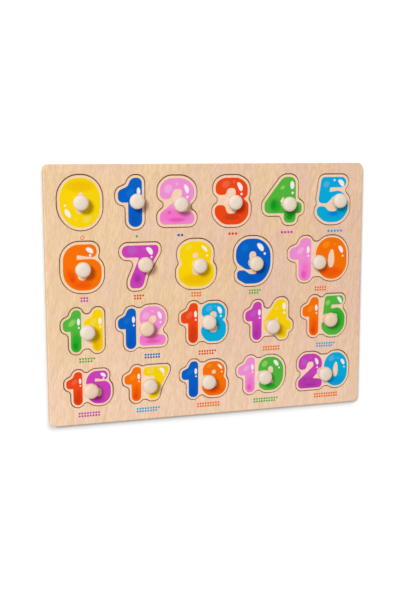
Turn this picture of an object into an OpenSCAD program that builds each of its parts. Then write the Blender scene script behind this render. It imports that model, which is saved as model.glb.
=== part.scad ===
// Wooden peg puzzle of the numbers 0 to 20. It lies on its back, with the pegs up.
// The board is two glued layers. The front layer is sawn through round each number, and the
// closed back layer carries the loose tiles. Each tile has a turned peg glued in it.

/* [Board] */
// Width of the board
board_w = 300; // [250:1:400]
// Height of the board's face, from its bottom edge to its top edge
board_h = 230; // [190:1:300]
// Radius of the board's corners, seen from the front
corner_r = 5; // [3:0.5:12]
// Thickness of the front layer, which the tiles are sawn from
front_t = 5; // [4:0.5:8]
// Thickness of the closed back layer
back_t = 3; // [2:0.5:6]

/* [Number tiles] */
// Bare wood between a printed digit and the edge of its tile
rim_w = 2.4; // [1.8:0.1:3.2]
// The same on the tiles with two digits
pair_rim_w = 1.9; // [1.4:0.1:2.8]
// Least radius of the inside corners of a tile's edge
notch_r = 4; // [2:0.5:5]
// Width of the saw cut round a tile
kerf_w = 0.7; // [0.4:0.1:1]
// How far a tile's face lies below the board's face
drop_t = 0.4; // [0.2:0.1:0.8]
// Thickness of the printed ink
ink_t = 0.1; // [0.05:0.05:0.3]

/* [Pegs] */
// Diameter of a peg's head
head_d = 13.5; // [11:0.5:17]
// Height of the head's crown above its widest ring
crown_h = 4; // [3:0.5:7]
// Height of the head's underside below its widest ring
under_h = 4; // [2.5:0.5:6]
// Height of the neck between the tile and the head
neck_h = 6; // [3:0.5:8]
// Diameter of the neck where it is thinnest
neck_d = 7; // [6:0.5:8.5]
// How far the neck widens at its foot, on each side
flare_w = 0.8; // [0.4:0.1:1.5]
// Diameter of the tenon that is glued in the tile
tenon_d = 5; // [4:0.5:6]
// Wood left under the tenon's hole
floor_t = 1.2; // [0.8:0.1:2]
// Glue gap round the tenon and below it
glue_gap = 0.1; // [0.05:0.05:0.2]

/* [Hidden] */
// Numbers on the board, and the names of its separate pieces
last_number = 20;
numbers = [0:last_number];

// Steps of the curves
$fn = 96;
step_angle = 10;
curve_steps = 8;

// Overrun of the cuts past the face that they open
cut_over = 1;

// Thickness of a tile, the height of its face, and the depth of the hole for a tenon
tile_t = front_t - drop_t;
tile_z = back_t + tile_t;
hole_h = tile_t - floor_t;
foot_d = neck_d + 2 * flare_w;

// How square the head's crown is: 1 is a plain ellipse, and less is squarer
crown_share = 0.65;

// Most of an outline's side that the arc at each of its ends may take
reach_share = 0.48;

// Corners of each digit's outline, as [across, up, corner radius] in shares of its height.
// A radius of 1 rounds the corner as far as its two sides allow.
outline_shares = [
    [
        [0.25, 0, 1], [0.6, 0, 1], [0.815, 0.25, 1], [0.815, 0.75, 1],
        [0.6, 1, 1], [0.22, 1, 1], [0, 0.75, 1], [0, 0.28, 1]
    ],
    [
        [0.21, 0, 0.145], [0.5, 0, 0.145], [0.5, 1, 0.14], [0.28, 1, 0.13],
        [0.2, 0.825, 0.12], [0, 0.74, 0.105], [0, 0.5, 0.12], [0.21, 0.5, 0.015]
    ],
    [
        [0.01, 0.55, 0.12], [0.01, 0.83, 0.22], [0.17, 1, 0.29], [0.58, 1, 0.34],
        [0.78, 0.83, 0.27], [0.78, 0.58, 0.22], [0.475, 0.285, 0.02], [0.78, 0.25, 0.11],
        [0.78, 0, 0.12], [0, 0, 0.135], [0, 0.235, 0.12], [0.5, 0.635, 0.06],
        [0.5, 0.765, 0.09], [0.32, 0.765, 0.08], [0.24, 0.55, 0.1]
    ],
    [
        [0.02, 0.635, 0.11], [0.02, 0.885, 0.19], [0.18, 1, 0.28], [0.545, 1, 0.26],
        [0.74, 0.87, 0.21], [0.74, 0.62, 0.12], [0.65, 0.55, 0.01], [0.76, 0.46, 0.14],
        [0.76, 0.165, 0.28], [0.57, 0, 0.28], [0.18, 0, 0.28], [0, 0.2, 0.21],
        [0, 0.42, 0.11], [0.22, 0.42, 0.095], [0.28, 0.235, 0.085], [0.475, 0.235, 0.095],
        [0.5, 0.41, 0.07], [0.31, 0.45, 0.045], [0.31, 0.58, 0.045], [0.47, 0.62, 0.07],
        [0.47, 0.78, 0.09], [0.29, 0.78, 0.09], [0.25, 0.635, 0.08]
    ],
    [
        [0, 0.21, 0.155], [0, 0.44, 0.12], [0.44, 1, 0.2], [0.735, 1, 0.155],
        [0.735, 0.465, 0.03], [0.88, 0.425, 0.11], [0.88, 0.21, 0.12], [0.735, 0.21, 0.02],
        [0.735, 0, 0.135], [0.455, 0, 0.135], [0.455, 0.21, 0.02]
    ],
    [
        [0.11, 1, 0.095], [0.7, 1, 0.115], [0.7, 0.77, 0.115], [0.32, 0.77, 0.02],
        [0.3, 0.67, 0.01], [0.57, 0.705, 0.21], [0.745, 0.52, 0.21], [0.745, 0.21, 0.28],
        [0.555, 0, 0.31], [0.19, 0, 0.31], [0, 0.17, 0.165], [0, 0.355, 0.105],
        [0.18, 0.355, 0.105], [0.3, 0.24, 0.12], [0.5, 0.24, 0.105], [0.5, 0.54, 0.105],
        [0.37, 0.54, 0.07], [0.245, 0.42, 0.13], [0.025, 0.42, 0.145]
    ],
    [
        [0.3, 0.775, 0.03], [0.74, 0.7, 0.115], [0.74, 1, 0.17], [0, 1, 0.47],
        [0, 0, 0.46], [0.84, 0, 0.4], [0.84, 0.685, 0.235], [0.3, 0.675, 0.015]
    ],
    [
        [0, 0.72, 0.13], [0, 1, 0.135], [0.875, 1, 0.13], [0.875, 0.835, 0.105],
        [0.58, 0.34, 0.26], [0.485, 0, 0.145], [0.185, 0, 0.155], [0.185, 0.185, 0.21],
        [0.415, 0.72, 0.035]
    ],
    [
        [0, 0.17, 1], [0.2, 0, 1], [0.625, 0, 1], [0.815, 0.17, 1], [0.815, 0.43, 1],
        [0.715, 0.545, 0.06], [0.76, 0.64, 1], [0.76, 0.85, 1], [0.575, 1, 1],
        [0.215, 1, 1], [0.03, 0.85, 1], [0.03, 0.64, 1], [0.09, 0.505, 0.06], [0, 0.41, 1]
    ],
    [
        [0.025, 0.305, 0.11], [0.195, 0.305, 0.11], [0.33, 0.215, 0.11], [0.48, 0.215, 0.04],
        [0.48, 0.32, 0.04], [0.24, 0.315, 0.22], [0, 0.485, 0.22], [0, 0.805, 1],
        [0.19, 1, 1], [0.585, 1, 1], [0.815, 0.77, 1], [0.815, 0.29, 1], [0.6, 0, 1],
        [0.215, 0, 0.24], [0.025, 0.12, 0.12]
    ]
];

// Corners of the bare spots inside each digit, in the same shares
counter_shares = [
    [[
        [0.35, 0.28, 1], [0.44, 0.28, 1], [0.495, 0.41, 1], [0.485, 0.6, 1],
        [0.45, 0.715, 1], [0.395, 0.715, 1], [0.33, 0.59, 1], [0.315, 0.4, 1]
    ]],
    [],
    [],
    [],
    [[[0.355, 0.455, 0.01], [0.45, 0.455, 0.02], [0.45, 0.6, 0.015]]],
    [],
    [[[0.315, 0.22, 1], [0.525, 0.22, 1], [0.525, 0.485, 1], [0.315, 0.485, 1]]],
    [],
    [
        [[0.31, 0.64, 0.05], [0.475, 0.64, 0.05], [0.445, 0.75, 0.05], [0.345, 0.75, 0.05]],
        [[0.315, 0.26, 0.08], [0.505, 0.26, 0.08], [0.505, 0.425, 0.08], [0.315, 0.425, 0.08]]
    ],
    [[[0.315, 0.505, 0.075], [0.475, 0.505, 0.075], [0.475, 0.72, 0.08], [0.315, 0.72, 0.08]]]
];

// Width of each digit's outline, in shares of its height
digit_width_shares = [0.815, 0.5, 0.78, 0.76, 0.88, 0.745, 0.84, 0.875, 0.815, 0.815];

// Place of each printed digit as [left, bottom, right, top], in shares of the board's width
// and height from its lower left corner. The numbers from 10 on have two digits each.
place_shares = [
    [[0.045, 0.763, 0.162, 0.95]],
    [[0.215, 0.761, 0.287, 0.948]],
    [[0.34, 0.767, 0.447, 0.945]],
    [[0.511, 0.761, 0.619, 0.945]],
    [[0.671, 0.763, 0.794, 0.946]],
    [[0.845, 0.761, 0.95, 0.944]],
    [[0.05, 0.524, 0.163, 0.7]],
    [[0.224, 0.524, 0.335, 0.69]],
    [[0.396, 0.52, 0.508, 0.699]],
    [[0.579, 0.522, 0.692, 0.703]],
    [[0.755, 0.524, 0.828, 0.7], [0.844, 0.527, 0.95, 0.699]],
    [[0.045, 0.286, 0.099, 0.45], [0.107, 0.286, 0.163, 0.45]],
    [[0.209, 0.286, 0.264, 0.446], [0.274, 0.296, 0.355, 0.45]],
    [[0.403, 0.294, 0.457, 0.455], [0.467, 0.296, 0.547, 0.452]],
    [[0.61, 0.29, 0.664, 0.447], [0.67, 0.292, 0.763, 0.453]],
    [[0.801, 0.294, 0.856, 0.455], [0.867, 0.292, 0.947, 0.457]],
    [[0.051, 0.078, 0.099, 0.209], [0.11, 0.079, 0.184, 0.209]],
    [[0.226, 0.076, 0.277, 0.213], [0.284, 0.081, 0.362, 0.21]],
    [[0.404, 0.073, 0.457, 0.22], [0.469, 0.074, 0.548, 0.215]],
    [[0.587, 0.074, 0.642, 0.22], [0.654, 0.077, 0.738, 0.217]],
    [[0.789, 0.072, 0.871, 0.218], [0.878, 0.074, 0.959, 0.217]]
];

// Wood that joins the two digits of the numbers from 10 on, as [bottom, top] in shares of
// the first digit's height, and how far it goes into each digit in shares of the digit's width
bridge_shares = [
    [0.135, 0.86], [0.125, 0.845], [0.11, 0.95], [0.085, 0.915], [0.14, 0.755], [0.075, 0.93],
    [0.14, 0.88], [0.1, 0.95], [0.13, 0.9], [0.11, 0.91], [0.095, 0.9]
];
bridge_in_share = 0.25;

// Place of each peg, in shares of the board's width and height from its lower left corner
peg_shares = [
    [0.101, 0.858], [0.265, 0.86], [0.397, 0.846], [0.565, 0.85], [0.74, 0.839], [0.908, 0.849],
    [0.103, 0.608], [0.287, 0.619], [0.454, 0.607], [0.633, 0.607], [0.841, 0.603],
    [0.112, 0.369], [0.289, 0.37], [0.482, 0.382], [0.689, 0.35], [0.883, 0.364],
    [0.119, 0.141], [0.297, 0.143], [0.481, 0.141], [0.664, 0.143], [0.868, 0.138]
];

// Ink of each printed digit
ink_colors = [
    ["gold"], ["mediumblue"], ["orchid"], ["orangered"], ["limegreen"], ["deepskyblue"],
    ["darkorange"], ["mediumorchid"], ["gold"], ["mediumblue"], ["orchid", "darkorange"],
    ["limegreen", "gold"], ["mediumblue", "orchid"], ["orangered", "deepskyblue"],
    ["mediumorchid", "gold"], ["darkorange", "limegreen"], ["orangered", "mediumorchid"],
    ["darkorange", "gold"], ["mediumblue", "darkorange"], ["orchid", "limegreen"],
    ["mediumorchid", "deepskyblue"]
];

// Digits of a number, from left to right
function digits(n) = n < 10 ? [n] : [floor(n / 10), n % 10];

// A place on the board's face, from its shares of the width and height
function on_board(share) = [(share.x - 0.5) * board_w, (share.y - 0.5) * board_h];

// Direction from a to b, with length 1
function aim(a, b) = (b - a) / norm(b - a);

// Signed turn from one angle to another, between -180 and 180
function turn(from, to) = (to - from + 540) % 360 - 180;

// Arc that rounds the corner b between the points a and c, held to a share of each side
function rounded_corner(a, b, c, radius) =
    let (
        to_a = aim(b, a),
        to_c = aim(b, c),
        half = acos(to_a * to_c) / 2,
        longest = reach_share * min(norm(a - b), norm(c - b)),
        reach = min(radius / tan(half), longest),
        arc_r = reach * tan(half),
        middle = b + (to_a + to_c) / norm(to_a + to_c) * arc_r / sin(half),
        first = b + reach * to_a - middle,
        last = b + reach * to_c - middle,
        first_angle = atan2(first.y, first.x),
        sweep = turn(first_angle, atan2(last.y, last.x)),
        steps = ceil(abs(sweep) / step_angle)
    )
    [
        for (i = [0:steps])
        let (angle = first_angle + sweep * i / steps)
        middle + arc_r * [cos(angle), sin(angle)]
    ];

// Closed outline through a list of rounded corners
function rounded_outline(corners) =
    let (count = len(corners))
    [
        for (i = [0:count - 1])
        let (
            before = corners[(i + count - 1) % count],
            here = corners[i],
            after = corners[(i + 1) % count]
        )
        each rounded_corner([before.x, before.y], [here.x, here.y], [after.x, after.y], here.z)
    ];

// Stretches an outline in digit shares to its place on the board
function fit_outline(corners, digit, place) =
    let (
        low = on_board([place[0], place[1]]),
        high = on_board([place[2], place[3]]),
        size = high - low
    )
    [
        for (p = rounded_outline(corners))
        [low.x + p.x * size.x / digit_width_shares[digit], low.y + p.y * size.y]
    ];

// Half profile of a peg, from the end of its tenon to the top of its crown, with the tile's
// face at height 0. The head's widest ring is at ring_z.
under_angle = acos(neck_d / head_d);
ring_z = neck_h + under_h * sin(under_angle);
neck_profile = [
    for (i = [0:curve_steps])
    let (t = i / curve_steps)
    [neck_d / 2 + flare_w * (1 - t) * (1 - t), neck_h * t]
];
under_profile = [
    for (i = [1:curve_steps])
    let (angle = under_angle * (1 - i / curve_steps))
    [head_d / 2 * cos(angle), ring_z - under_h * sin(angle)]
];
crown_profile = [
    for (i = [1:curve_steps])
    let (angle = 90 * i / curve_steps)
    [head_d / 2 * pow(cos(angle), crown_share), ring_z + crown_h * pow(sin(angle), crown_share)]
];
tenon_h = hole_h - glue_gap;
tenon_profile = [[0, -tenon_h], [tenon_d / 2, -tenon_h], [tenon_d / 2, 0]];

// Flat shape of one printed digit, with or without its bare spots
module digit_plan(n, i, filled) {
    digit = digits(n)[i];
    place = place_shares[n][i];
    difference() {
        polygon(fit_outline(outline_shares[digit], digit, place));
        if (!filled)
            for (spot = counter_shares[digit])
                polygon(fit_outline(spot, digit, place));
    }
}

// Flat wood between the two digits of a number
module bridge_plan(n) {
    first = place_shares[n][0];
    second = place_shares[n][1];
    span = bridge_shares[n - 10] * (first[3] - first[1]);
    left = first[2] - bridge_in_share * (first[2] - first[0]);
    right = second[0] + bridge_in_share * (second[2] - second[0]);
    low = on_board([left, first[1] + span[0]]);
    high = on_board([right, first[1] + span[1]]);
    translate(low)
    square(high - low);
}

// Flat shape of a tile: the number with a bare rim round it, and wood under the peg's whole
// head. The inside corners are rounded.
module tile_plan(n) {
    rim = len(digits(n)) > 1 ? pair_rim_w : rim_w;
    offset(r = -notch_r, $fn = 360 / step_angle)
    offset(delta = rim + notch_r) {
        for (i = [0:len(digits(n)) - 1])
            digit_plan(n, i, true);
        if (len(digits(n)) > 1)
            bridge_plan(n);
        translate(on_board(peg_shares[n]))
        circle(d = head_d - 2 * rim, $fn = 360 / step_angle);
    }
}

// Flat shape of the board, with round corners
module board_plan() {
    square([board_w - 2 * corner_r, board_h], center = true);
    square([board_w, board_h - 2 * corner_r], center = true);
    for (x = [-1, 1], y = [-1, 1])
        translate([x * (board_w / 2 - corner_r), y * (board_h / 2 - corner_r)])
        circle(r = corner_r);
}

// Back layer, which closes the openings
module board_back() {
    color("tan")
    linear_extrude(back_t)
    board_plan();
}

// Front layer, sawn through round each tile
module board_front() {
    color("burlywood")
    translate([0, 0, back_t])
    linear_extrude(front_t)
    difference() {
        board_plan();
        for (n = numbers)
            offset(delta = kerf_w)
            tile_plan(n);
    }
}

// Printed ink of a number, clear of the foot of its peg
module ink(n) {
    for (i = [0:len(digits(n)) - 1])
        color(ink_colors[n][i])
        translate([0, 0, tile_z - ink_t])
        linear_extrude(2 * ink_t)
        difference() {
            digit_plan(n, i, false);
            translate(on_board(peg_shares[n]))
            circle(d = foot_d + 2 * glue_gap);
        }
}

// Number tile, with the hole for its peg
module tile(n) {
    difference() {
        union() {
            color("burlywood")
            translate([0, 0, back_t])
            linear_extrude(tile_t)
            tile_plan(n);
            ink(n);
        }
        translate(on_board(peg_shares[n]))
        translate([0, 0, back_t + floor_t])
        cylinder(d = tenon_d + 2 * glue_gap, h = hole_h + cut_over);
    }
}

// Turned peg, with its tenon in the tile
module peg(n) {
    color("antiquewhite")
    translate(on_board(peg_shares[n]))
    translate([0, 0, tile_z])
    rotate_extrude()
    polygon(concat(tenon_profile, neck_profile, under_profile, crown_profile));
}

board_front();
board_back();
for (n = numbers) {
    tile(n);
    peg(n);
}
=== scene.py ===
import math
import bmesh
import bpy
from mathutils import Matrix, Vector


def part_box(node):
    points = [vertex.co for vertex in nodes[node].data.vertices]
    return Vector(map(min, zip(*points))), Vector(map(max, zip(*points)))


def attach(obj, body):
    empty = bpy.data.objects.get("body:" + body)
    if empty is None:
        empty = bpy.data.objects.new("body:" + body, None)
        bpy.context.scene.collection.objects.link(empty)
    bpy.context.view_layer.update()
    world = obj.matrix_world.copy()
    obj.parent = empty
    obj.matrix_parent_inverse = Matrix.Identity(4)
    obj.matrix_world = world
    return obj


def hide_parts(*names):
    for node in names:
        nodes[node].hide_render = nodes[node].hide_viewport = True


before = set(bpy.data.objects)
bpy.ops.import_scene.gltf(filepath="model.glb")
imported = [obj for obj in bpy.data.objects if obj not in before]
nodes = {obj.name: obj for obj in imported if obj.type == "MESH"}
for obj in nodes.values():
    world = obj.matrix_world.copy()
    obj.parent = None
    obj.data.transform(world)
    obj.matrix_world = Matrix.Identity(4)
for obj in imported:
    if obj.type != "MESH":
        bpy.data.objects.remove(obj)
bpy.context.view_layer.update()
numbers = range(21)
mm = 0.001
boardLow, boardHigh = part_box("board_front")
faceTop = boardHigh.z  # the bare face of the board
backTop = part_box("board_back")[1].z  # where the two layers of the board are glued
tileLevels = sorted({round(vert.co.z, 6) for vert in nodes["tile_0"].data.vertices})
tileTop, printTop = tileLevels[-2:]  # the tiles' bare wood, and their ink
levelFace, steepFace = 0.99, 0.5  # how far up a face's normal points, where an upright face has 0
sameHeight = 0.01 * mm


# nodes and meshes, in short form
def shade(red, green, blue):
    # a colour as a screen shows it, 0 to 255, in Blender's linear numbers
    share = [c / 255 for c in (red, green, blue)]
    return (*[c / 12.92 if c <= 0.04045 else ((c + 0.055) / 1.055) ** 2.4 for c in share], 1)


def addNode(tree, kind, inputs=None, **settings):
    node = tree.nodes.new(kind)
    for key, value in settings.items():
        setattr(node, key, value)
    for key, value in (inputs or {}).items():
        if isinstance(value, bpy.types.NodeSocket):
            tree.links.new(value, node.inputs[key])
        else:
            node.inputs[key].default_value = value
    return node


def mixColor(tree, factor, first, second, blend="MIX"):
    # sockets 0, 6 and 7 of a colour mix are its factor and its two colours
    inputs = {0: factor, 6: first, 7: second}
    return addNode(tree, "ShaderNodeMix", inputs, data_type="RGBA", blend_type=blend).outputs[2]


def between(tree, value, low, high, first=0.0, last=1.0):
    inputs = {"Value": value, "From Min": low, "From Max": high, "To Min": first, "To Max": last}
    return addNode(tree, "ShaderNodeMapRange", inputs, interpolation_type="SMOOTHSTEP").outputs[0]


def calculate(tree, operation, *values):
    return addNode(tree, "ShaderNodeMath", dict(enumerate(values)), operation=operation).outputs[0]


def noise(tree, place, scale, detail, roughness=0.5):
    inputs = {"Vector": place, "Scale": scale, "Detail": detail, "Roughness": roughness}
    return addNode(tree, "ShaderNodeTexNoise", inputs).outputs["Fac"]


def vectorMath(tree, operation, *values):
    node = addNode(tree, "ShaderNodeVectorMath", dict(enumerate(values)), operation=operation)
    return node.outputs["Value" if operation in ("LENGTH", "DISTANCE", "DOT_PRODUCT") else "Vector"]


def objectPlace(tree):
    return addNode(tree, "ShaderNodeTexCoord").outputs["Object"]


def startMaterial(name, roughness, shine):
    material = bpy.data.materials.new(name)
    material.use_nodes = True
    shader = material.node_tree.nodes["Principled BSDF"]
    shader.inputs["Roughness"].default_value = roughness
    shader.inputs["Specular IOR Level"].default_value = shine
    return material, material.node_tree, shader


def addBump(tree, shader, height, depth):
    # depth in mm
    bump = addNode(tree, "ShaderNodeBump", {"Height": height, "Distance": depth * mm, "Strength": 1.0})
    tree.links.new(bump.outputs[0], shader.inputs["Normal"])


def makePiece(name, cut, materials, body, creaseAngle=25, levelFlat=True):
    # with levelFlat, level faces aren't shaded round, so that they stay clean beside their bevels
    mesh = bpy.data.meshes.new(name)
    cut.normal_update()
    cut.to_mesh(mesh)
    cut.free()
    mesh.set_sharp_from_angle(angle=math.radians(creaseAngle))
    for face in mesh.polygons:
        face.use_smooth = not (levelFlat and abs(face.normal.z) > levelFace)
    for material in materials:
        mesh.materials.append(material)
    piece = bpy.data.objects.new(name, mesh)
    bpy.context.scene.collection.objects.link(piece)
    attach(piece, body)
    return piece


# camera: 0.85 m from the board, a little to its left and above its middle; places in mm
camera = {"place": (-259.1, 118.2, 809.6), "aim": (-11.0, -7.8, 8.0), "roll": -0.2, "lens": 55.97}


def makeCamera():
    place = Vector(camera["place"]) * mm
    back = (place - Vector(camera["aim"]) * mm).normalized()
    right = Vector((0, 1, 0)).cross(back).normalized()
    up = back.cross(right)
    turned = Matrix((right, up, back)).transposed() @ Matrix.Rotation(math.radians(camera["roll"]), 3, "Z")
    data = bpy.data.cameras.new("camera")
    data.lens = camera["lens"]
    data.clip_start, data.clip_end = 0.01, 50
    view = bpy.data.objects.new("camera", data)
    view.matrix_world = Matrix.Translation(place) @ turned.to_4x4()
    bpy.context.scene.collection.objects.link(view)
    bpy.context.scene.camera = view


makeCamera()
print("camera set")

# wood
veneer = {  # the face of the board
    "base": (242, 210, 170), "fibre": (240, 230, 222), "line": (206, 164, 122), "tint": (235, 198, 178),
    "slant": -9, "stretch": 6.5,  # the grain's lean in degrees, and its length for a width of 1
    "fibresPerMetre": 950, "figurePerMetre": 38, "linesPerFigure": 8, "lineStrength": 0.26,
    "tintsPerMetre": 26, "tintAcross": 1.0, "tintShare": 0.8,  # tintAcross makes the right side pinker and a little darker
    "foot": (249, 217, 190), "footShare": 0.75,  # painted light: a paler lower half, standing in for more light falling there
    "roughness": 0.55, "shine": 0.25, "bump": 0.05,
}
rimWood = dict(  # the bare rim of the tiles
    veneer, base=(244, 214, 178), fibre=(245, 241, 237), line=(218, 180, 144), tint=(245, 213, 187),
    foot=(251, 222, 197),
)
backWood = dict(  # the closed back of the board
    veneer, base=(232, 200, 160), fibre=(235, 224, 210), line=(190, 148, 104), tint=(233, 202, 174),
    slant=3, footShare=0, roughness=0.6,
)


def addGrain(tree, look):
    # fine fibres, growth lines that follow one slow noise, patches of tint, and painted light: a paler foot
    # of the board
    place = objectPlace(tree)
    along = addNode(tree, "ShaderNodeMapping", {
        "Vector": place,
        "Rotation": (0, 0, math.radians(look["slant"])),
        "Scale": (1, look["stretch"], 1),
    }, vector_type="TEXTURE").outputs[0]
    fibres = noise(tree, along, look["fibresPerMetre"], 4.0, 0.6)
    figure = noise(tree, along, look["figurePerMetre"], 1.5, 0.4)
    patches = addNode(tree, "ShaderNodeMapping", {"Vector": place, "Scale": (1, 0.5, 1)}).outputs[0]
    patchiness = noise(tree, patches, look["tintsPerMetre"], 2.0, 0.6)
    spot = addNode(tree, "ShaderNodeSeparateXYZ", {0: place}).outputs
    tints = calculate(tree, "ADD", patchiness, calculate(tree, "MULTIPLY", spot["X"], look["tintAcross"]))
    waves = calculate(tree, "PINGPONG", calculate(tree, "MULTIPLY", figure, look["linesPerFigure"]), 0.5)
    tinted = between(tree, tints, 0.35, 0.7, 0.0, look["tintShare"])
    color = mixColor(tree, tinted, shade(*look["base"]), shade(*look["tint"]))
    # painted light: the lower part of the board is painted paler, as if more light fell there
    foot = between(tree, spot["Y"], boardLow.y, 0.0, look["footShare"], 0.0)
    color = mixColor(tree, foot, color, shade(*look["foot"]))
    # the fibres show more in some patches than in others
    depth = calculate(tree, "MULTIPLY", between(tree, fibres, 0.3, 0.7, 1.0, 0.0),
                      between(tree, patchiness, 0.3, 0.7, 1.15, 0.8))
    color = mixColor(tree, depth, color, shade(*look["fibre"]), "MULTIPLY")
    line = calculate(tree, "MULTIPLY", between(tree, waves, 0.0, 0.22, 1.0, 0.0), fibres)
    drawn = calculate(tree, "MULTIPLY", line, look["lineStrength"])
    color = mixColor(tree, drawn, color, shade(*look["line"]))
    return color, fibres


def veneerMaterial(name, look):
    material, tree, shader = startMaterial(name, look["roughness"], look["shine"])
    color, grain = addGrain(tree, look)
    tree.links.new(color, shader.inputs["Base Color"])
    addBump(tree, shader, grain, look["bump"])
    return material


plies = {
    "light": (238, 210, 174), "dark": (216, 182, 142), "glue": (158, 118, 80),
    "glueHeights": (1.0, 3.0, 4.6, 6.4), "glueFade": (0.05, 0.2), "glueShare": 0.75,  # heights and fade in mm
    "streaksPerMetre": 260, "flatness": 7, "specksPerMetre": 1400,
    "roughness": 0.7, "shine": 0.15, "bump": 0.06,
}
scorch = {
    "pale": (236, 196, 161), "dark": (194, 150, 118), "spotsPerMetre": 30,
    "paintedShadeShare": 0.45,  # painted shade: how much darker the side of a cut facing away from the light is than the other
    "rim": 0.9, "rimFade": 0.4,  # mm below the face that are browned most, and mm below these that fade
    "rimShare": 0.9, "wallShare": 0.2,
}


def plyEdgeMaterial(name, paintedShadeSide=None):
    # the sawn edge: plies of turned grain, thin glue lines, and the brown of a hot cut, with painted shade
    # darkening the walls that face one side
    material, tree, shader = startMaterial(name, plies["roughness"], plies["shine"])
    place = objectPlace(tree)
    height = addNode(tree, "ShaderNodeSeparateXYZ", {0: place}).outputs["Z"]
    flat = (1, 1, plies["flatness"])
    flow = addNode(tree, "ShaderNodeMapping", {"Vector": place, "Scale": flat}).outputs[0]
    streaks = noise(tree, flow, plies["streaksPerMetre"], 3.0)
    color = mixColor(tree, between(tree, streaks, 0.35, 0.65), shade(*plies["dark"]), shade(*plies["light"]))
    fadeStart, fadeEnd = (reach * mm for reach in plies["glueFade"])
    for glueHeight in plies["glueHeights"]:
        far = calculate(tree, "ABSOLUTE", calculate(tree, "SUBTRACT", height, glueHeight * mm))
        glued = between(tree, far, fadeStart, fadeEnd, plies["glueShare"], 0.0)
        color = mixColor(tree, glued, color, shade(*plies["glue"]))
    if paintedShadeSide:
        spots = noise(tree, place, scorch["spotsPerMetre"], 2.0)
        normal = addNode(tree, "ShaderNodeNewGeometry").outputs["Normal"]
        # painted shade: walls that face the given side are darker, as if in shade, on top of the burn spots
        paintedShadeFacing = vectorMath(tree, "DOT_PRODUCT", normal, paintedShadeSide)
        burnAndShade = calculate(tree, "ADD", spots, calculate(tree, "MULTIPLY", paintedShadeFacing, scorch["paintedShadeShare"]))
        burnAndShadeMask = between(tree, burnAndShade, 0.35, 0.75)
        brown = mixColor(tree, burnAndShadeMask, shade(*scorch["pale"]), shade(*scorch["dark"]))
        rim = faceTop - scorch["rim"] * mm
        wall = rim - scorch["rimFade"] * mm
        burn = between(tree, height, wall, rim, scorch["wallShare"], scorch["rimShare"])
        color = mixColor(tree, burn, color, brown)
    tree.links.new(color, shader.inputs["Base Color"])
    addBump(tree, shader, noise(tree, place, plies["specksPerMetre"], 2.0), plies["bump"])
    return material


faceVeneer = veneerMaterial("faceVeneer", veneer)
rimVeneer = veneerMaterial("rimVeneer", rimWood)
backVeneer = veneerMaterial("backVeneer", backWood)
outerEdge = plyEdgeMaterial("outerEdge")
# painted shade: the walls along the upper side of each gap round a tile are darker
openingEdge = plyEdgeMaterial("openingEdge", (0.1, -0.9, 0))
tileEdge = plyEdgeMaterial("tileEdge", (-0.1, 0.9, 0))

# the board's two layers, with sizes in mm
board = {
    "outerRound": 0.9, "openingRound": 0.45, "backRound": 0.6,
    "cornerReach": 7,  # anything nearer than this to the outline belongs to the outside
}
merging = {
    "shortestStep": 0.08,  # less than the print's thickness
    "flatAngle": 0.5,  # faces that differ by less than this many degrees become one
}


def mergedCopy(node):
    # a CAD mesh is loose triangles, so the copy is merged and its flat faces are joined; the outlines'
    # shortest steps go too, since they would keep the edges from being rounded
    cut = bmesh.new()
    cut.from_mesh(nodes[node].data)
    bmesh.ops.remove_doubles(cut, verts=cut.verts, dist=merging["shortestStep"] * mm)
    flat = math.radians(merging["flatAngle"])
    bmesh.ops.dissolve_limit(cut, angle_limit=flat, verts=cut.verts, edges=cut.edges)
    return cut


def crestEdges(cut, level, keep=None):
    # convex edges at one height, where a flat face meets an upright one
    return [
        edge for edge in cut.edges
        if all(abs(vert.co.z - level) < sameHeight for vert in edge.verts)
        and len(edge.link_faces) == 2 and edge.is_convex
        and abs(abs(sum(face.normal.z for face in edge.link_faces)) - 1) < 0.5
        and (keep is None or keep(edge))
    ]


def roundEdges(cut, edges, radius, segments=3):
    bmesh.ops.bevel(cut, geom=edges, offset=radius * mm, offset_type="OFFSET", segments=segments, profile=0.5,
                    affect="EDGES", material=-1, clamp_overlap=True)


def onOutline(part):
    # the outside of the board, and not one of its openings
    middle = sum((vert.co for vert in part.verts), Vector()) / len(part.verts)
    inside = min(boardHigh.x - abs(middle.x), boardHigh.y - abs(middle.y))
    return inside < board["cornerReach"] * mm


def makeBoardFront():
    cut = mergedCopy("board_front")
    roundEdges(cut, crestEdges(cut, faceTop, onOutline), board["outerRound"])
    roundEdges(cut, crestEdges(cut, faceTop, lambda edge: not onOutline(edge)), board["openingRound"], 2)
    for face in cut.faces:
        if abs(face.normal.z) < steepFace:
            face.material_index = 1 if onOutline(face) else 2
        elif face.normal.z < levelFace and not onOutline(face):
            face.material_index = 2
    piece = makePiece("frontLayer", cut, [faceVeneer, outerEdge, openingEdge], "board")
    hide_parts("board_front")


def makeBoardBack():
    cut = mergedCopy("board_back")
    roundEdges(cut, crestEdges(cut, 0), board["backRound"])
    for face in cut.faces:
        face.material_index = 1 if abs(face.normal.z) < steepFace else 0
    piece = makePiece("backLayer", cut, [backVeneer, outerEdge], "board")
    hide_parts("board_back")


makeBoardFront()
makeBoardBack()
print("board made")

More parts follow.
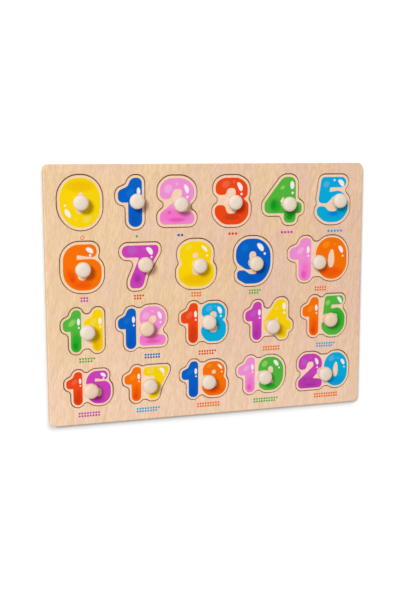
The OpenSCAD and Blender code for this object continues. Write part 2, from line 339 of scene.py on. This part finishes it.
# the print on the tiles
inks = {  # the ink itself, its deeper shade, its lighter shade and its darkest spots
    "yellow": ((247, 216, 2), (239, 195, 0), (242, 222, 72), (232, 184, 0)),
    "blue": ((0, 98, 206), (0, 90, 199), (8, 112, 213), (0, 84, 193)),
    "pink": ((239, 147, 219), (243, 118, 208), (243, 174, 233), (230, 88, 188)),
    "red": ((236, 72, 20), (216, 58, 14), (241, 100, 70), (200, 62, 20)),
    "green": ((82, 186, 64), (36, 170, 42), (146, 214, 106), (0, 152, 30)),
    "cyan": ((0, 175, 228), (0, 158, 226), (84, 178, 236), (0, 130, 208)),
    "orange": ((247, 117, 0), (241, 89, 0), (252, 141, 18), (229, 72, 0)),
    "purple": ((202, 67, 190), (182, 56, 176), (186, 93, 205), (166, 50, 166)),
}
tileInks = [  # from 0 to 20, one for each digit
    ["yellow"], ["blue"], ["pink"], ["red"], ["green"],
    ["cyan"], ["orange"], ["purple"], ["yellow"], ["blue"],
    ["pink", "orange"], ["green", "yellow"], ["blue", "pink"], ["red", "cyan"], ["purple", "yellow"],
    ["orange", "green"], ["red", "purple"], ["orange", "yellow"], ["blue", "orange"], ["pink", "green"],
    ["purple", "cyan"],
]
markLook = {  # how strong each kind of mark is, and how soft its edge
    "deep": (0.95, 0.5), "spot": (0.85, 0.4), "light": (0.9, 0.25), "glint": (1.0, 0.14),
}
printLook = {
    "glint": (246, 243, 246),
    "grainShare": 0.22,  # how much the grain shows through the ink
    "roughness": 0.45, "shine": 0.06, "bump": 0.03,
}
# marks on each digit: kind, middle as shares of the digit's width and height, then width and
# length as shares of its height, lean of the top to the left in degrees, and bend
digitMarks = {
    0: [("deep", 0.5, 0.17, 0.54, 0.22, 0, 0), ("light", 0.33, 0.83, 0.15, 0.2, -55, 0),
        ("light", 0.6, 0.83, 0.06, 0.06, 0, 0), ("glint", 0.81, 0.71, 0.09, 0.19, 30, 0.2),
        ("glint", 0.87, 0.55, 0.045, 0.045, 0, 0)],
    1: [("deep", 0.72, 0.2, 0.2, 0.46, 0, 0), ("spot", 0.66, 0.15, 0.12, 0.16, 0, 0),
        ("light", 0.5, 0.7, 0.12, 0.2, -45, 0), ("glint", 0.86, 0.72, 0.075, 0.16, 0, 0.1),
        ("glint", 0.87, 0.58, 0.045, 0.045, 0, 0)],
    2: [("deep", 0.45, 0.18, 0.72, 0.32, 0, 0), ("spot", 0.5, 0.1, 0.36, 0.09, 0, 0),
        ("spot", 0.28, 0.26, 0.08, 0.08, 0, 0), ("light", 0.25, 0.77, 0.17, 0.2, -30, 0),
        ("light", 0.5, 0.88, 0.07, 0.07, 0, 0), ("glint", 0.78, 0.77, 0.09, 0.2, 20, 0.25),
        ("glint", 0.8, 0.59, 0.05, 0.05, 0, 0)],
    3: [("spot", 0.5, 0.16, 0.34, 0.12, 0, 0), ("light", 0.33, 0.86, 0.14, 0.18, -60, 0),
        ("light", 0.57, 0.91, 0.06, 0.06, 0, 0), ("glint", 0.75, 0.81, 0.095, 0.2, 25, 0.25),
        ("glint", 0.79, 0.65, 0.05, 0.05, 0, 0)],
    4: [("deep", 0.29, 0.38, 0.26, 0.28, 0, 0), ("spot", 0.24, 0.4, 0.13, 0.2, -10, 0),
        ("deep", 0.68, 0.2, 0.24, 0.26, 0, 0), ("spot", 0.67, 0.13, 0.14, 0.12, 0, 0),
        ("light", 0.48, 0.77, 0.07, 0.11, -50, 0), ("glint", 0.74, 0.82, 0.095, 0.175, 3, 0.1),
        ("glint", 0.75, 0.65, 0.055, 0.055, 0, 0)],
    5: [("deep", 0.55, 0.19, 0.34, 0.15, 0, 0), ("spot", 0.55, 0.19, 0.18, 0.09, 0, 0),
        ("light", 0.3, 0.84, 0.12, 0.15, -60, 0), ("glint", 0.79, 0.87, 0.1, 0.19, 40, 0.3),
        ("glint", 0.56, 0.93, 0.045, 0.045, 0, 0)],
    6: [("deep", 0.22, 0.3, 0.18, 0.34, 25, 0), ("deep", 0.5, 0.12, 0.36, 0.15, 0, 0),
        ("spot", 0.24, 0.24, 0.07, 0.12, 25, 0), ("glint", 0.7, 0.87, 0.1, 0.18, 56, 0.15),
        ("glint", 0.71, 0.76, 0.055, 0.055, 0, 0)],
    7: [("deep", 0.41, 0.23, 0.2, 0.24, 0, 0), ("spot", 0.42, 0.22, 0.12, 0.15, 0, 0),
        ("light", 0.29, 0.89, 0.19, 0.22, 90, 0), ("light", 0.6, 0.92, 0.07, 0.07, 0, 0),
        ("glint", 0.765, 0.87, 0.11, 0.21, 38, 0.3), ("glint", 0.81, 0.72, 0.045, 0.045, 0, 0)],
    8: [("deep", 0.48, 0.17, 0.58, 0.24, 0, 0), ("light", 0.3, 0.87, 0.1, 0.17, -60, 0),
        ("glint", 0.74, 0.84, 0.065, 0.18, 42, 0.3), ("glint", 0.81, 0.68, 0.045, 0.045, 0, 0)],
    9: [("deep", 0.5, 0.12, 0.32, 0.12, 0, 0), ("light", 0.25, 0.8, 0.15, 0.2, -45, 0),
        ("glint", 0.71, 0.81, 0.11, 0.21, 38, 0.15), ("glint", 0.83, 0.66, 0.055, 0.055, 0, 0)],
}
ownMarks = {  # digits that are printed another way on one tile
    (13, 3): digitMarks[3][1:],
    # on 15, the 5's deep patch round the peg is partly print and partly painted shade of the peg
    (15, 5): [("deep", 0.6, 0.4, 0.46, 0.5, 0, 0), ("light", 0.26, 0.83, 0.11, 0.14, -40, 0),
              ("glint", 0.78, 0.89, 0.08, 0.2, 35, 0.35)],
}
upsideDown = {0}  # this tile lies turned by half a turn in its opening


def makeMarkGroup():
    # 1 inside a bent ellipse and 0 outside it, with a soft edge
    tree = bpy.data.node_groups.new("printedMark", "ShaderNodeTree")
    for name in ("Place", "Middle", "Turn", "Size"):
        tree.interface.new_socket(name, in_out="INPUT", socket_type="NodeSocketVector")
    for name in ("Bend", "Softness"):
        tree.interface.new_socket(name, in_out="INPUT", socket_type="NodeSocketFloat")
    tree.interface.new_socket("Inside", in_out="OUTPUT", socket_type="NodeSocketFloat")
    given = addNode(tree, "NodeGroupInput").outputs
    local = addNode(tree, "ShaderNodeMapping", {
        "Vector": given["Place"],
        "Location": given["Middle"],
        "Rotation": given["Turn"],
        "Scale": given["Size"],
    }, vector_type="TEXTURE").outputs[0]
    split = addNode(tree, "ShaderNodeSeparateXYZ", {0: local}).outputs
    bulge = calculate(tree, "MULTIPLY", calculate(tree, "MULTIPLY", split["Y"], split["Y"]), given["Bend"])
    across = calculate(tree, "ADD", split["X"], bulge)
    bent = addNode(tree, "ShaderNodeCombineXYZ", {0: across, 1: split["Y"]}).outputs[0]
    far = vectorMath(tree, "LENGTH", bent)
    low = calculate(tree, "SUBTRACT", 1.0, given["Softness"])
    high = calculate(tree, "ADD", 1.0, given["Softness"])
    result = addNode(tree, "NodeGroupOutput")
    tree.links.new(between(tree, far, low, high, 1.0, 0.0), result.inputs[0])
    return tree


markGroup = makeMarkGroup()


def printMaterial(number, digit, ink, low, high):
    name = f"print{number}_{digit}_{ink}"
    material, tree, shader = startMaterial(name, printLook["roughness"], printLook["shine"])
    base, deep, light, spot = (shade(*tone) for tone in inks[ink])
    colors = {"deep": deep, "light": light, "spot": spot, "glint": shade(*printLook["glint"])}
    place = objectPlace(tree)
    size = high - low
    color = base
    for kind, across, up, width, length, lean, bend in ownMarks.get((number, digit), digitMarks[digit]):
        if number in upsideDown:
            across, up, lean = 1 - across, 1 - up, lean + 180
        strength, softness = markLook[kind]
        mark = addNode(tree, "ShaderNodeGroup", {}, node_tree=markGroup)
        tree.links.new(place, mark.inputs["Place"])
        mark.inputs["Middle"].default_value = (low.x + across * size.x, low.y + up * size.y, printTop)
        mark.inputs["Turn"].default_value = (0, 0, math.radians(lean))
        mark.inputs["Size"].default_value = (width * size.y / 2, length * size.y / 2, 1)
        mark.inputs["Bend"].default_value = bend
        mark.inputs["Softness"].default_value = softness
        inside = calculate(tree, "MULTIPLY", mark.outputs[0], strength)
        color = mixColor(tree, inside, color, colors[kind])
    wood, grain = addGrain(tree, rimWood)
    color = mixColor(tree, printLook["grainShare"], color, wood, "MULTIPLY")
    tree.links.new(color, shader.inputs["Base Color"])
    addBump(tree, shader, grain, printLook["bump"])
    return material


# the tiles, with sizes in mm
tile = {"topRound": 0.4, "bottomRound": 0.3, "digitGap": 0.5}


def digitGroups(inkFaces):
    # the printed faces of a tile, sorted into its digits by the bare gap between them
    def left(face):
        return min(vert.co.x for vert in face.verts)

    groups, reach = [], -math.inf
    for face in sorted(inkFaces, key=left):
        if left(face) > reach + tile["digitGap"] * mm:
            groups.append([])
        groups[-1].append(face)
        reach = max(reach, *[vert.co.x for vert in face.verts])
    return groups


def makeTile(number):
    cut = mergedCopy(f"tile_{number}")
    roundEdges(cut, crestEdges(cut, tileTop), tile["topRound"], 2)
    roundEdges(cut, crestEdges(cut, backTop), tile["bottomRound"], 2)
    for face in cut.faces:
        face.material_index = 0 if abs(face.normal.z) > levelFace else 1
    middle = (tileTop + printTop) / 2
    levelFaces = [face for face in cut.faces if face.normal.z > levelFace]
    inkFaces = [face for face in levelFaces if face.calc_center_median().z > middle]
    walls = [face for face in cut.faces if abs(face.calc_center_median().z - middle) < sameHeight]
    materials = [rimVeneer, tileEdge]
    digits = [int(letter) for letter in str(number)]
    groups = digitGroups(inkFaces)
    if len(groups) != len(digits):
        print("tile", number, "has", len(groups), "printed groups")
    for digit, ink, faces in zip(digits, tileInks[number], groups):
        points = [vert.co for face in faces for vert in face.verts]
        low = Vector(map(min, *points))
        high = Vector(map(max, *points))
        for face in faces + [wall for wall in walls if low.x <= wall.calc_center_median().x <= high.x]:
            face.material_index = len(materials)
        materials.append(printMaterial(number, digit, ink, low, high))
    piece = makePiece(f"numberTile_{number}", cut, materials, f"number_{number}")
    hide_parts(f"tile_{number}")


for number in numbers:
    makeTile(number)
print("tiles made")

# the pegs, with sizes in mm
peg = {
    "footFlare": 0.8, "neckRadius": 3.5, "neckHeight": 6,
    "underHeight": 4, "crownHeight": 4, "crownSquareness": 0.65,  # a lower number is a flatter crown
    "steps": 10, "turns": 56,  # how finely it is turned
    "seam": 0.002,  # points nearer than this become one
}
pegWoods = {
    "pale": {"light": (237, 222, 206), "dark": (225, 206, 187), "pore": (206, 182, 158)},
    "straw": {"light": (237, 217, 197), "dark": (225, 201, 179), "pore": (206, 178, 151)},
    "honey": {"light": (240, 211, 188), "dark": (228, 196, 169), "pore": (208, 174, 144)},
}
turning = {  # the pattern of the turned wood
    "pith": (0.9, 0.5, 0), "ringScale": 3.0, "ringShare": 0.15, "specksPerMetre": 1500, "tonesPerMetre": 25,
    "toneShare": 0.4, "poreShare": 0.35, "roughness": 0.5, "shine": 0.25, "bump": 0.04,
}
pegTones = {7: "straw", 9: "straw", 12: "honey", 15: "honey", 16: "honey", 17: "straw"}  # the others are pale


def pegMaterial(name, look):
    # end grain on the crown, read from the peg's own flat map
    material, tree, shader = startMaterial(f"turnedWood_{name}", turning["roughness"], turning["shine"])
    flat = addNode(tree, "ShaderNodeUVMap", uv_map="turned").outputs[0]
    place = objectPlace(tree)
    pith = addNode(tree, "ShaderNodeMapping", {"Vector": flat, "Location": turning["pith"]}).outputs[0]
    rings = addNode(tree, "ShaderNodeTexWave", {
        "Vector": pith, "Scale": turning["ringScale"], "Distortion": 1.2, "Detail": 2.0, "Detail Scale": 1.2,
    }, wave_type="RINGS", rings_direction="SPHERICAL").outputs["Fac"]
    specks = noise(tree, place, turning["specksPerMetre"], 2.0)
    tone = noise(tree, place, turning["tonesPerMetre"], 0.0)
    grain = calculate(tree, "ADD", calculate(tree, "MULTIPLY", rings, turning["ringShare"]),
                      calculate(tree, "MULTIPLY", specks, 1 - turning["ringShare"]))
    dark, pore = shade(*look["dark"]), shade(*look["pore"])
    color = mixColor(tree, between(tree, grain, 0.3, 0.7), dark, shade(*look["light"]))
    color = mixColor(tree, between(tree, tone, 0.4, 0.7, 0.0, turning["toneShare"]), color, dark)
    color = mixColor(tree, between(tree, specks, 0.66, 0.76, 0.0, turning["poreShare"]), color, pore)
    tree.links.new(color, shader.inputs["Base Color"])
    addBump(tree, shader, grain, turning["bump"])
    return material


turnedWoods = {name: pegMaterial(name, look) for name, look in pegWoods.items()}


def pegProfile(headRadius):
    # radius and height above the tile, in mm, from the foot to the top of the crown
    steps, neck, under, crown = peg["steps"], peg["neckRadius"], peg["underHeight"], peg["crownHeight"]
    points = [(0, 0)]
    for i in range(steps + 1):
        t = i / steps
        points.append((neck + peg["footFlare"] * (1 - t) ** 2, peg["neckHeight"] * t))
    start = math.acos(neck / headRadius)
    ring = peg["neckHeight"] + under * math.sin(start)  # the height of the head's widest ring
    for i in range(1, steps + 1):
        angle = start * (1 - i / steps)
        points.append((headRadius * math.cos(angle), ring - under * math.sin(angle)))
    for i in range(1, steps):
        angle = math.pi / 2 * i / steps
        across, up = (part ** peg["crownSquareness"] for part in (math.cos(angle), math.sin(angle)))
        points.append((headRadius * across, ring + crown * up))
    return points + [(0, ring + crown)]


def makePeg(number):
    low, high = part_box(f"peg_{number}")
    axis = Vector(((low.x + high.x) / 2, (low.y + high.y) / 2, tileTop))
    headRadius = (high.x - low.x) / 2
    cut = bmesh.new()
    line = [
        cut.verts.new(axis + Vector((radius * mm, 0, height * mm)))
        for radius, height in pegProfile(headRadius / mm)
    ]
    edges = [cut.edges.new(pair) for pair in zip(line, line[1:])]
    bmesh.ops.spin(cut, geom=line + edges, cent=axis, axis=(0, 0, 1), angle=2 * math.pi, steps=peg["turns"],
                   use_merge=True)
    bmesh.ops.remove_doubles(cut, verts=cut.verts, dist=peg["seam"] * mm)
    bmesh.ops.recalc_face_normals(cut, faces=cut.faces)
    layer = cut.loops.layers.uv.new("turned")
    for face in cut.faces:
        for loop in face.loops:
            offset = (loop.vert.co - axis) / headRadius
            loop[layer].uv = (offset.x, offset.y)
    wood = turnedWoods[pegTones.get(number, "pale")]
    piece = makePiece(f"turnedPeg_{number}", cut, [wood], f"number_{number}", 50, False)
    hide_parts(f"peg_{number}")


for number in numbers:
    makePeg(number)
print("pegs made")

# counting dots below each number, with sizes in mm
dots = {
    "thickness": 0.06, "sunk": 0.02, "segments": 20, "shortRowMax": 5,
    "ringRadius": 1.8, "ringWidth": 0.6, "ringSegments": 40,  # the empty ring below 0
    "grainShare": 0.2, "mottlesPerMetre": 900, "roughness": 0.5, "shine": 0.15,
}
shortRow = {"dot": 2.4, "pitch": 3.2}
twoRows = {"dot": 1.9, "pitch": 2.5}
dotPlaces = {  # middle of each group from the middle of the board, and its ink
    0: (-117.6, 51.8, "orange"), 1: (-69.2, 51.8, "green"), 2: (-29.2, 51.8, "blue"),
    3: (20.4, 51.8, "red"), 4: (73.4, 51.8, "purple"), 5: (122, 51.8, "cyan"),
    6: (-117, -2.4, "purple"), 7: (-67.8, -2.4, "red"), 8: (-14.6, -2.4, "orange"),
    9: (42.2, -2.4, "green"), 10: (108.2, -2.4, "orange"),
    11: (-115.6, -56.6, "green"), 12: (-56.2, -56.6, "blue"), 13: (-4, -56.6, "red"),
    14: (58.8, -56.6, "orange"), 15: (114.6, -56.6, "cyan"),
    16: (-114.8, -106, "purple"), 17: (-60.6, -106, "cyan"), 18: (-3.4, -106, "orange"),
    19: (53.6, -106, "green"), 20: (115.4, -106, "orange"),
}


def dotMaterial(ink):
    material, tree, shader = startMaterial(f"dotInk_{ink}", dots["roughness"], dots["shine"])
    mottle = noise(tree, objectPlace(tree), dots["mottlesPerMetre"], 1.0)
    base, deep = (shade(*tone) for tone in inks[ink][:2])
    color = mixColor(tree, between(tree, mottle, 0.3, 0.7), deep, base)
    wood = addGrain(tree, veneer)[0]
    color = mixColor(tree, dots["grainShare"], color, wood, "MULTIPLY")
    tree.links.new(color, shader.inputs["Base Color"])
    return material


dotInks = {ink: dotMaterial(ink) for ink in sorted({place[2] for place in dotPlaces.values()})}


def dotRows(number):
    if number <= dots["shortRowMax"]:
        return [number], shortRow
    return [math.ceil(number / 2), number // 2], twoRows


def addDisc(cut, x, y, radius, segments, filled):
    height = faceTop / mm + dots["thickness"] / 2 - dots["sunk"]
    bmesh.ops.create_cone(
        cut, cap_ends=filled, segments=segments, radius1=radius * mm, radius2=radius * mm,
        depth=dots["thickness"] * mm, matrix=Matrix.Translation(Vector((x, y, height)) * mm),
    )


def makeDots(number):
    x, y, ink = dotPlaces[number]
    cut = bmesh.new()
    rows, size = dotRows(number)
    for row, count in enumerate(rows):
        for i in range(count):
            across = x + (i - (rows[0] - 1) / 2) * size["pitch"]
            up = y + ((len(rows) - 1) / 2 - row) * size["pitch"]
            addDisc(cut, across, up, size["dot"] / 2, dots["segments"], True)
    if number == 0:  # none to count, so an empty ring
        addDisc(cut, x, y, dots["ringRadius"], dots["ringSegments"], False)
        bmesh.ops.solidify(cut, geom=cut.faces[:], thickness=dots["ringWidth"] * mm)
        bmesh.ops.recalc_face_normals(cut, faces=cut.faces)
    makePiece(f"countingDots_{number}", cut, [dotInks[ink]], "board", 40)


for number in numbers:
    makeDots(number)
print("counting dots made")

# floor, light and world
floorLook = {
    "size": 4, "drop": 0.3,  # half its width in m, and mm below the board
    "color": (247, 247, 247), "roughness": 0.9,
    # how much it shines by itself towards the camera, at each distance in m from a place left of the middle
    "glowPlace": (-0.05, 0.04, 0), "glows": [(0.15, 0.1), (0.25, 0.15), (0.45, 0.3), (1.6, 1.0)],
    # a painted shadow, grey close round the board: colour and share, then, in mm, how far it is moved towards
    # the last row, the distances from the outline between which it fades, and the radius of its corners
    "paintedShadowColor": (152, 151, 150), "paintedShadowShare": 0.64,
    "paintedShadowDrop": 4.2, "paintedShadowFade": (-3.0, 4.6), "paintedShadowCorner": 5.0,
}
studio = {
    "keyPlace": (-1.9, 1.3, 3.2), "keySize": 1.0,  # in m
    "keyPower": 118.0, "keyColor": (0.9, 1.0, 1.09), "worldLight": (0.43, 0.37, 0.32),
}
white = (1, 1, 1, 1)


def seenDirectly(tree):
    # 1 for what the camera or a reflection sees, and 0 for what lights the object
    rays = addNode(tree, "ShaderNodeLightPath").outputs
    return calculate(tree, "MAXIMUM", rays["Is Camera Ray"], rays["Is Glossy Ray"])


def nearBoard(tree, place):
    # where the painted shadow lies: 1 beside the board and 0 away from it
    corner = floorLook["paintedShadowCorner"] * mm
    start, end = (edge * mm + corner for edge in floorLook["paintedShadowFade"])
    moved = vectorMath(tree, "ADD", place, (0, floorLook["paintedShadowDrop"] * mm, 0))
    inner = (boardHigh.x - corner, boardHigh.y - corner, 1)
    past = vectorMath(tree, "SUBTRACT", vectorMath(tree, "ABSOLUTE", moved), inner)
    far = vectorMath(tree, "LENGTH", vectorMath(tree, "MAXIMUM", past, (0, 0, 0)))
    return between(tree, far, start, end, 1.0, 0.0)


def floorMaterial():
    material, tree, shader = startMaterial("floor", floorLook["roughness"], 0.0)
    place = objectPlace(tree)
    # painted shadow: the floor is greyer close round the board
    paintedShadow = calculate(tree, "MULTIPLY", nearBoard(tree, place), floorLook["paintedShadowShare"])
    color = mixColor(tree, paintedShadow, shade(*floorLook["color"]), shade(*floorLook["paintedShadowColor"]))
    tree.links.new(color, shader.inputs["Base Color"])
    far = vectorMath(tree, "DISTANCE", place, floorLook["glowPlace"])
    glows = floorLook["glows"]
    glow = glows[0][1]
    for (reach, first), (nextReach, last) in zip(glows, glows[1:]):
        glow = calculate(tree, "ADD", glow, between(tree, far, reach, nextReach, 0.0, last - first))
    shader.inputs["Emission Color"].default_value = white
    tree.links.new(calculate(tree, "MULTIPLY", seenDirectly(tree), glow), shader.inputs["Emission Strength"])
    return material


def makeFloor():
    cut = bmesh.new()
    bmesh.ops.create_grid(cut, x_segments=1, y_segments=1, size=floorLook["size"])
    bmesh.ops.translate(cut, verts=cut.verts, vec=(0, 0, -floorLook["drop"] * mm))
    mesh = bpy.data.meshes.new("floor")
    cut.to_mesh(mesh)
    cut.free()
    mesh.materials.append(floorMaterial())
    floor = bpy.data.objects.new("floor", mesh)
    bpy.context.scene.collection.objects.link(floor)


def makeLight():
    key = bpy.data.lights.new("key", "AREA")
    key.shape, key.size, key.energy = "DISK", studio["keySize"], studio["keyPower"]
    key.color = studio["keyColor"]
    lamp = bpy.data.objects.new("key", key)
    place = Vector(studio["keyPlace"])
    lamp.matrix_world = Matrix.Translation(place) @ place.to_track_quat("Z", "Y").to_matrix().to_4x4()
    bpy.context.scene.collection.objects.link(lamp)

    world = bpy.data.worlds.new("studio")
    world.use_nodes = True
    tree = world.node_tree
    color = mixColor(tree, seenDirectly(tree), (*studio["worldLight"], 1), white)
    tree.links.new(color, tree.nodes["Background"].inputs["Color"])
    bpy.context.scene.world = world


makeFloor()
makeLight()
bpy.context.scene.view_settings.view_transform = "Standard"
print("studio lit")
